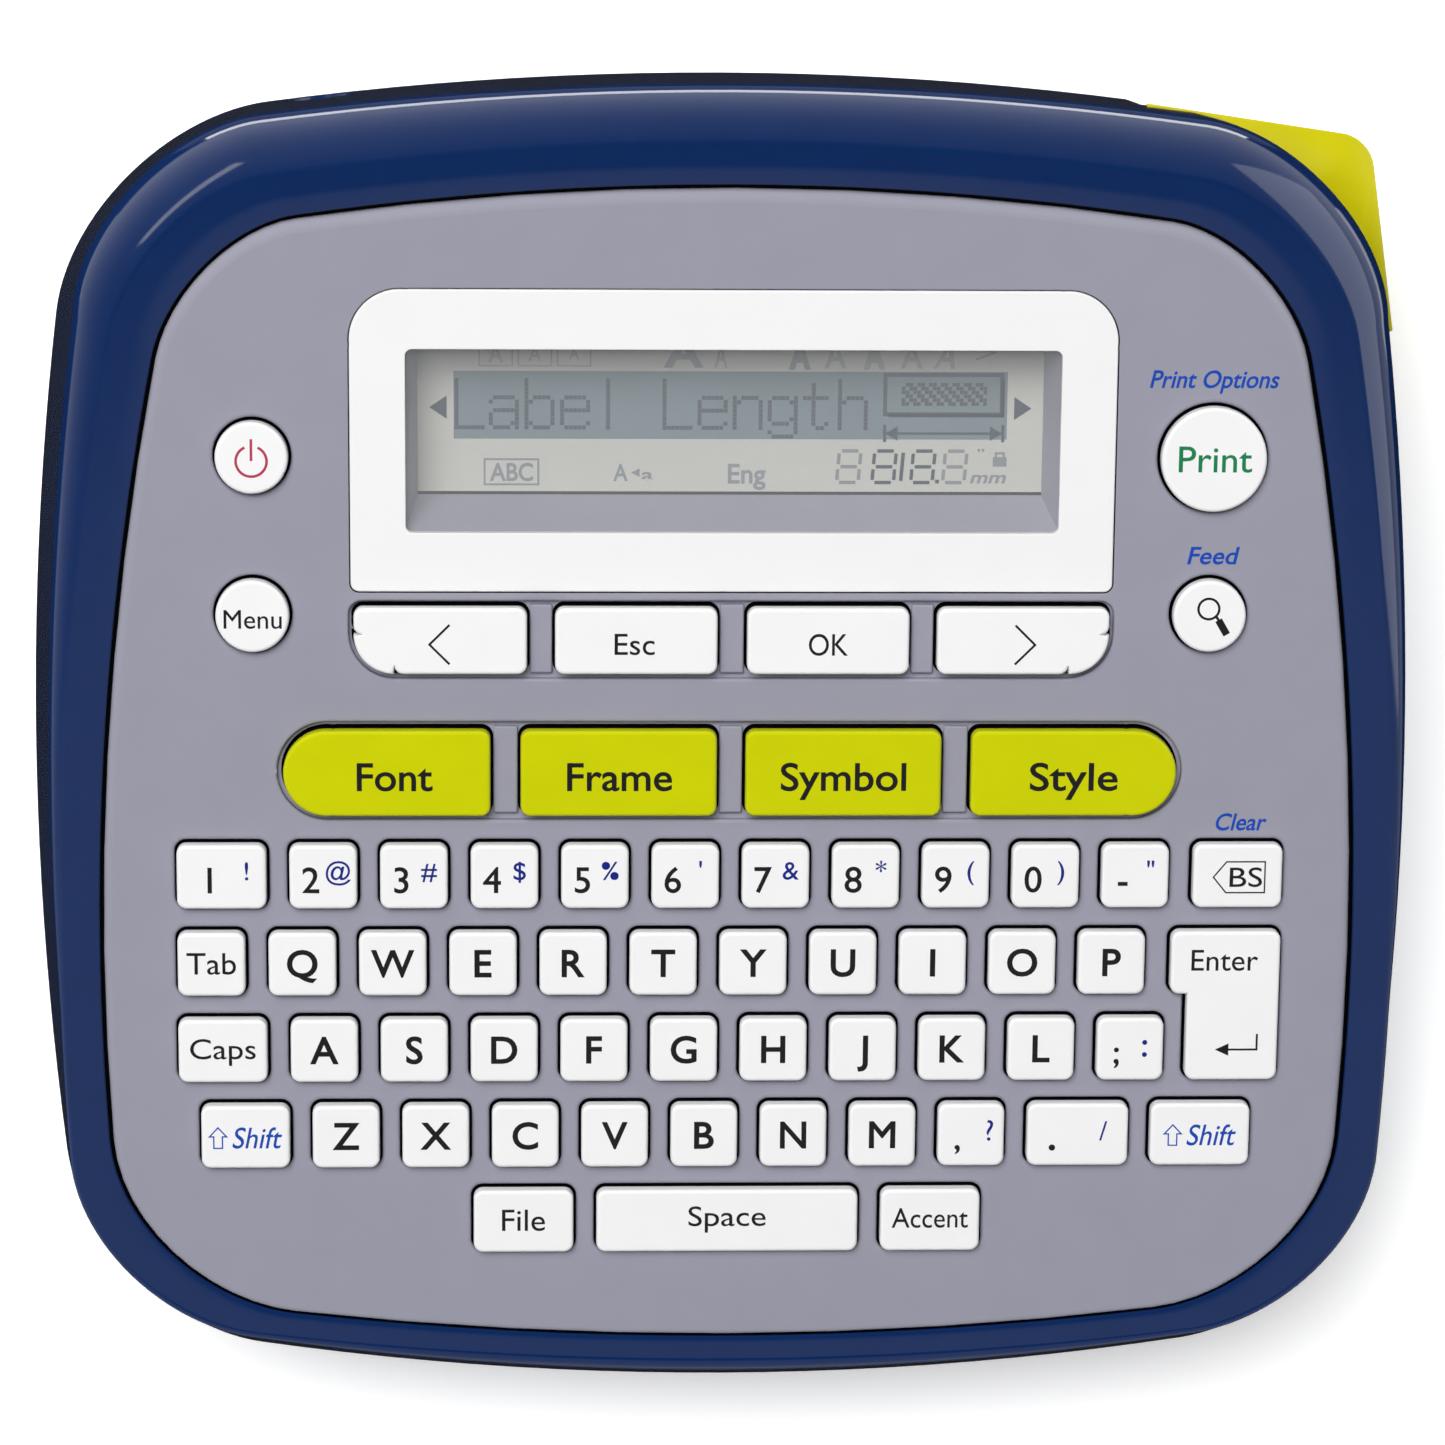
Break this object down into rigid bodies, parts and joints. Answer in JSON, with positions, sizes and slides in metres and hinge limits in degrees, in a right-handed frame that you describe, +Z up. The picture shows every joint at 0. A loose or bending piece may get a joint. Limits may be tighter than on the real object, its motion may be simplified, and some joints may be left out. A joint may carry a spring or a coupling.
{
  "type": "label maker",
  "caption": "Wedge-shaped desktop label maker with a keyboard, a recessed display, a thermal tape printer and a hand-lever tape cutter.",
  "frame": {"origin": "middle of the footprint on the plane the feet stand on", "axes": "+X to the right, +Y to the back, +Z up"},
  "size_m": [0.1644, 0.1562, 0.0676],
  "materials": {
    "navy_gloss": "moulded, glossy",
    "navy_matte": "moulded, fine texture",
    "panel_grey": "moulded, fine satin texture",
    "white_gloss": "printed behind clear gloss",
    "clear_window": "clear",
    "display_glass": "polarised display",
    "key_white": "satin moulded",
    "key_lime": "satin moulded",
    "silicone": "moulded silicone",
    "board_green": "solder mask",
    "lever_lime": "glossy moulded",
    "plated_steel": "plated",
    "black_plastic": "moulded",
    "head_ceramic": "glazed",
    "aluminium": "milled",
    "roller_rubber": "ground rubber",
    "gear_white": "acetal",
    "brass": "turned",
    "tape_white": "laminated film",
    "cell_wrap": "printed sleeve"
  },
  "bodies": {
    "chassis": {"top_housing": "navy_gloss", "bottom_housing": "navy_matte", "keyboard_panel": "panel_grey", "display_bezel": "white_gloss", "display_window": "clear_window", "lcd_holder": "panel_grey", "lcd_module": "display_glass", "keypad_membrane": "silicone", "main_board": "board_green", "lever_pin": "plated_steel", "cutter_guide": "plated_steel", "cutter_anvil": "plated_steel", "print_head": "head_ceramic", "heat_sink": "aluminium", "holder_pin": "plated_steel", "drive_motor": "plated_steel", "mechanism_chassis": "plated_steel", "tape_cassette": "black_plastic", "label_tape": "tape_white", "battery_cells": "cell_wrap", "battery_contacts": "plated_steel", "dc_jack": "black_plastic", "rubber_feet": "roller_rubber", "housing_screws": "plated_steel"},
    "key_power": {"key_power": "key_white"},
    "key_menu": {"key_menu": "key_white"},
    "key_print": {"key_print": "key_white"},
    "key_preview": {"key_preview": "key_white"},
    "key_left": {"key_left": "key_white"},
    "key_escape": {"key_escape": "key_white"},
    "key_ok": {"key_ok": "key_white"},
    "key_right": {"key_right": "key_white"},
    "key_font": {"key_font": "key_lime"},
    "key_frame": {"key_frame": "key_lime"},
    "key_symbol": {"key_symbol": "key_lime"},
    "key_style": {"key_style": "key_lime"},
    "key_backspace": {"key_backspace": "key_white"},
    "key_tab": {"key_tab": "key_white"},
    "key_enter": {"key_enter": "key_white"},
    "key_caps": {"key_caps": "key_white"},
    "key_shift_left": {"key_shift_left": "key_white"},
    "key_shift_right": {"key_shift_right": "key_white"},
    "key_file": {"key_file": "key_white"},
    "key_space": {"key_space": "key_white"},
    "key_accent": {"key_accent": "key_white"},
    "keys_number_row": {"keys_number_row": "key_white"},
    "keys_top_row": {"keys_top_row": "key_white"},
    "keys_home_row": {"keys_home_row": "key_white"},
    "keys_bottom_row": {"keys_bottom_row": "key_white"},
    "cutter_lever": {"cutter_lever": "lever_lime"},
    "cutter_carriage": {"blade_carriage": "black_plastic", "cutter_blade": "plated_steel", "carriage_spring": "plated_steel"},
    "back_cover": {"back_cover": "navy_matte"},
    "roller_holder": {"roller_holder": "black_plastic"},
    "platen": {"platen_roller": "roller_rubber", "platen_gear": "gear_white"},
    "motor_pinion": {"motor_pinion": "brass"},
    "idler_gear": {"idler_gear": "gear_white"},
    "ribbon_spindle": {"ribbon_spindle": "gear_white"}
  },
  "joints": [
    {"name": "key_power_press", "type": "slide", "parent": "chassis", "child": "key_power", "axis": [0, 0.225, -0.9744], "range_m": [0, 0.0009], "stiffness_N_per_m": 150, "springref_m": -0.0006},
    {"name": "key_menu_press", "type": "slide", "parent": "chassis", "child": "key_menu", "axis": [0, 0.225, -0.9744], "range_m": [0, 0.0009], "stiffness_N_per_m": 150, "springref_m": -0.0006},
    {"name": "key_print_press", "type": "slide", "parent": "chassis", "child": "key_print", "axis": [0, 0.225, -0.9744], "range_m": [0, 0.0009], "stiffness_N_per_m": 150, "springref_m": -0.0006},
    {"name": "key_preview_press", "type": "slide", "parent": "chassis", "child": "key_preview", "axis": [0, 0.225, -0.9744], "range_m": [0, 0.0009], "stiffness_N_per_m": 150, "springref_m": -0.0006},
    {"name": "key_left_press", "type": "slide", "parent": "chassis", "child": "key_left", "axis": [0, 0.225, -0.9744], "range_m": [0, 0.0009], "stiffness_N_per_m": 150, "springref_m": -0.0006},
    {"name": "key_escape_press", "type": "slide", "parent": "chassis", "child": "key_escape", "axis": [0, 0.225, -0.9744], "range_m": [0, 0.0009], "stiffness_N_per_m": 150, "springref_m": -0.0006},
    {"name": "key_ok_press", "type": "slide", "parent": "chassis", "child": "key_ok", "axis": [0, 0.225, -0.9744], "range_m": [0, 0.0009], "stiffness_N_per_m": 150, "springref_m": -0.0006},
    {"name": "key_right_press", "type": "slide", "parent": "chassis", "child": "key_right", "axis": [0, 0.225, -0.9744], "range_m": [0, 0.0009], "stiffness_N_per_m": 150, "springref_m": -0.0006},
    {"name": "key_font_press", "type": "slide", "parent": "chassis", "child": "key_font", "axis": [0, 0.225, -0.9744], "range_m": [0, 0.0009], "stiffness_N_per_m": 150, "springref_m": -0.0006},
    {"name": "key_frame_press", "type": "slide", "parent": "chassis", "child": "key_frame", "axis": [0, 0.225, -0.9744], "range_m": [0, 0.0009], "stiffness_N_per_m": 150, "springref_m": -0.0006},
    {"name": "key_symbol_press", "type": "slide", "parent": "chassis", "child": "key_symbol", "axis": [0, 0.225, -0.9744], "range_m": [0, 0.0009], "stiffness_N_per_m": 150, "springref_m": -0.0006},
    {"name": "key_style_press", "type": "slide", "parent": "chassis", "child": "key_style", "axis": [0, 0.225, -0.9744], "range_m": [0, 0.0009], "stiffness_N_per_m": 150, "springref_m": -0.0006},
    {"name": "key_backspace_press", "type": "slide", "parent": "chassis", "child": "key_backspace", "axis": [0, 0.225, -0.9744], "range_m": [0, 0.0009], "stiffness_N_per_m": 150, "springref_m": -0.0006},
    {"name": "key_tab_press", "type": "slide", "parent": "chassis", "child": "key_tab", "axis": [0, 0.225, -0.9744], "range_m": [0, 0.0009], "stiffness_N_per_m": 150, "springref_m": -0.0006},
    {"name": "key_enter_press", "type": "slide", "parent": "chassis", "child": "key_enter", "axis": [0, 0.225, -0.9744], "range_m": [0, 0.0009], "stiffness_N_per_m": 150, "springref_m": -0.0006},
    {"name": "key_caps_press", "type": "slide", "parent": "chassis", "child": "key_caps", "axis": [0, 0.225, -0.9744], "range_m": [0, 0.0009], "stiffness_N_per_m": 150, "springref_m": -0.0006},
    {"name": "key_shift_left_press", "type": "slide", "parent": "chassis", "child": "key_shift_left", "axis": [0, 0.225, -0.9744], "range_m": [0, 0.0009], "stiffness_N_per_m": 150, "springref_m": -0.0006},
    {"name": "key_shift_right_press", "type": "slide", "parent": "chassis", "child": "key_shift_right", "axis": [0, 0.225, -0.9744], "range_m": [0, 0.0009], "stiffness_N_per_m": 150, "springref_m": -0.0006},
    {"name": "key_file_press", "type": "slide", "parent": "chassis", "child": "key_file", "axis": [0, 0.225, -0.9744], "range_m": [0, 0.0009], "stiffness_N_per_m": 150, "springref_m": -0.0006},
    {"name": "key_space_press", "type": "slide", "parent": "chassis", "child": "key_space", "axis": [0, 0.225, -0.9744], "range_m": [0, 0.0009], "stiffness_N_per_m": 150, "springref_m": -0.0006},
    {"name": "key_accent_press", "type": "slide", "parent": "chassis", "child": "key_accent", "axis": [0, 0.225, -0.9744], "range_m": [0, 0.0009], "stiffness_N_per_m": 150, "springref_m": -0.0006},
    {"name": "keys_number_row_press", "type": "slide", "parent": "chassis", "child": "keys_number_row", "axis": [0, 0.225, -0.9744], "range_m": [0, 0.0009], "stiffness_N_per_m": 600, "springref_m": -0.0006},
    {"name": "keys_top_row_press", "type": "slide", "parent": "chassis", "child": "keys_top_row", "axis": [0, 0.225, -0.9744], "range_m": [0, 0.0009], "stiffness_N_per_m": 600, "springref_m": -0.0006},
    {"name": "keys_home_row_press", "type": "slide", "parent": "chassis", "child": "keys_home_row", "axis": [0, 0.225, -0.9744], "range_m": [0, 0.0009], "stiffness_N_per_m": 600, "springref_m": -0.0006},
    {"name": "keys_bottom_row_press", "type": "slide", "parent": "chassis", "child": "keys_bottom_row", "axis": [0, 0.225, -0.9744], "range_m": [0, 0.0009], "stiffness_N_per_m": 600, "springref_m": -0.0006},
    {"name": "lever_swing", "type": "hinge", "parent": "chassis", "child": "cutter_lever", "pos_m": [0.074, 0.046, 0.026], "axis": [0, 0, 1], "range_deg": [0, 8], "stiffness_Nm_per_rad": 0.67, "springref_deg": -5.73},
    {"name": "carriage_slide", "type": "slide", "parent": "chassis", "child": "cutter_carriage", "axis": [-1, 0, 0], "range_m": [0, 0.0026], "deforming": ["carriage_spring"]},
    {"name": "cover_removal", "type": "slide", "parent": "chassis", "child": "back_cover", "axis": [0, 0, -1], "range_m": [0, 0.02]},
    {"name": "holder_swing", "type": "hinge", "parent": "chassis", "child": "roller_holder", "pos_m": [0.047, 0.036, 0.02], "axis": [0, 0, 1], "range_deg": [-4, 0]},
    {"name": "motor_spin", "type": "hinge", "parent": "chassis", "child": "motor_pinion", "pos_m": [0.00832, 0.0596, 0.031], "axis": [0, 0, 1], "continuous": true},
    {"name": "idler_spin", "type": "hinge", "parent": "chassis", "child": "idler_gear", "pos_m": [0.02495, 0.05, 0.031], "axis": [0, 0, 1], "continuous": true},
    {"name": "platen_spin", "type": "hinge", "parent": "roller_holder", "child": "platen", "pos_m": [0.04535, 0.05, 0.02], "axis": [0, 0, 1], "continuous": true},
    {"name": "spindle_spin", "type": "hinge", "parent": "chassis", "child": "ribbon_spindle", "pos_m": [0.02002, 0.02774, 0.02], "axis": [0, 0, 1], "continuous": true}
  ],
  "couplings": [
    {"joint": "carriage_slide", "follows": "lever_swing", "m_per_rad": 0.018},
    {"joint": "holder_swing", "follows": "cover_removal", "rad_per_m": -3.4907},
    {"joint": "motor_spin", "follows": "idler_spin", "ratio": -3.5714},
    {"joint": "platen_spin", "follows": "idler_spin", "ratio": -2.7778},
    {"joint": "spindle_spin", "follows": "idler_spin", "ratio": -1.9231}
  ]
}
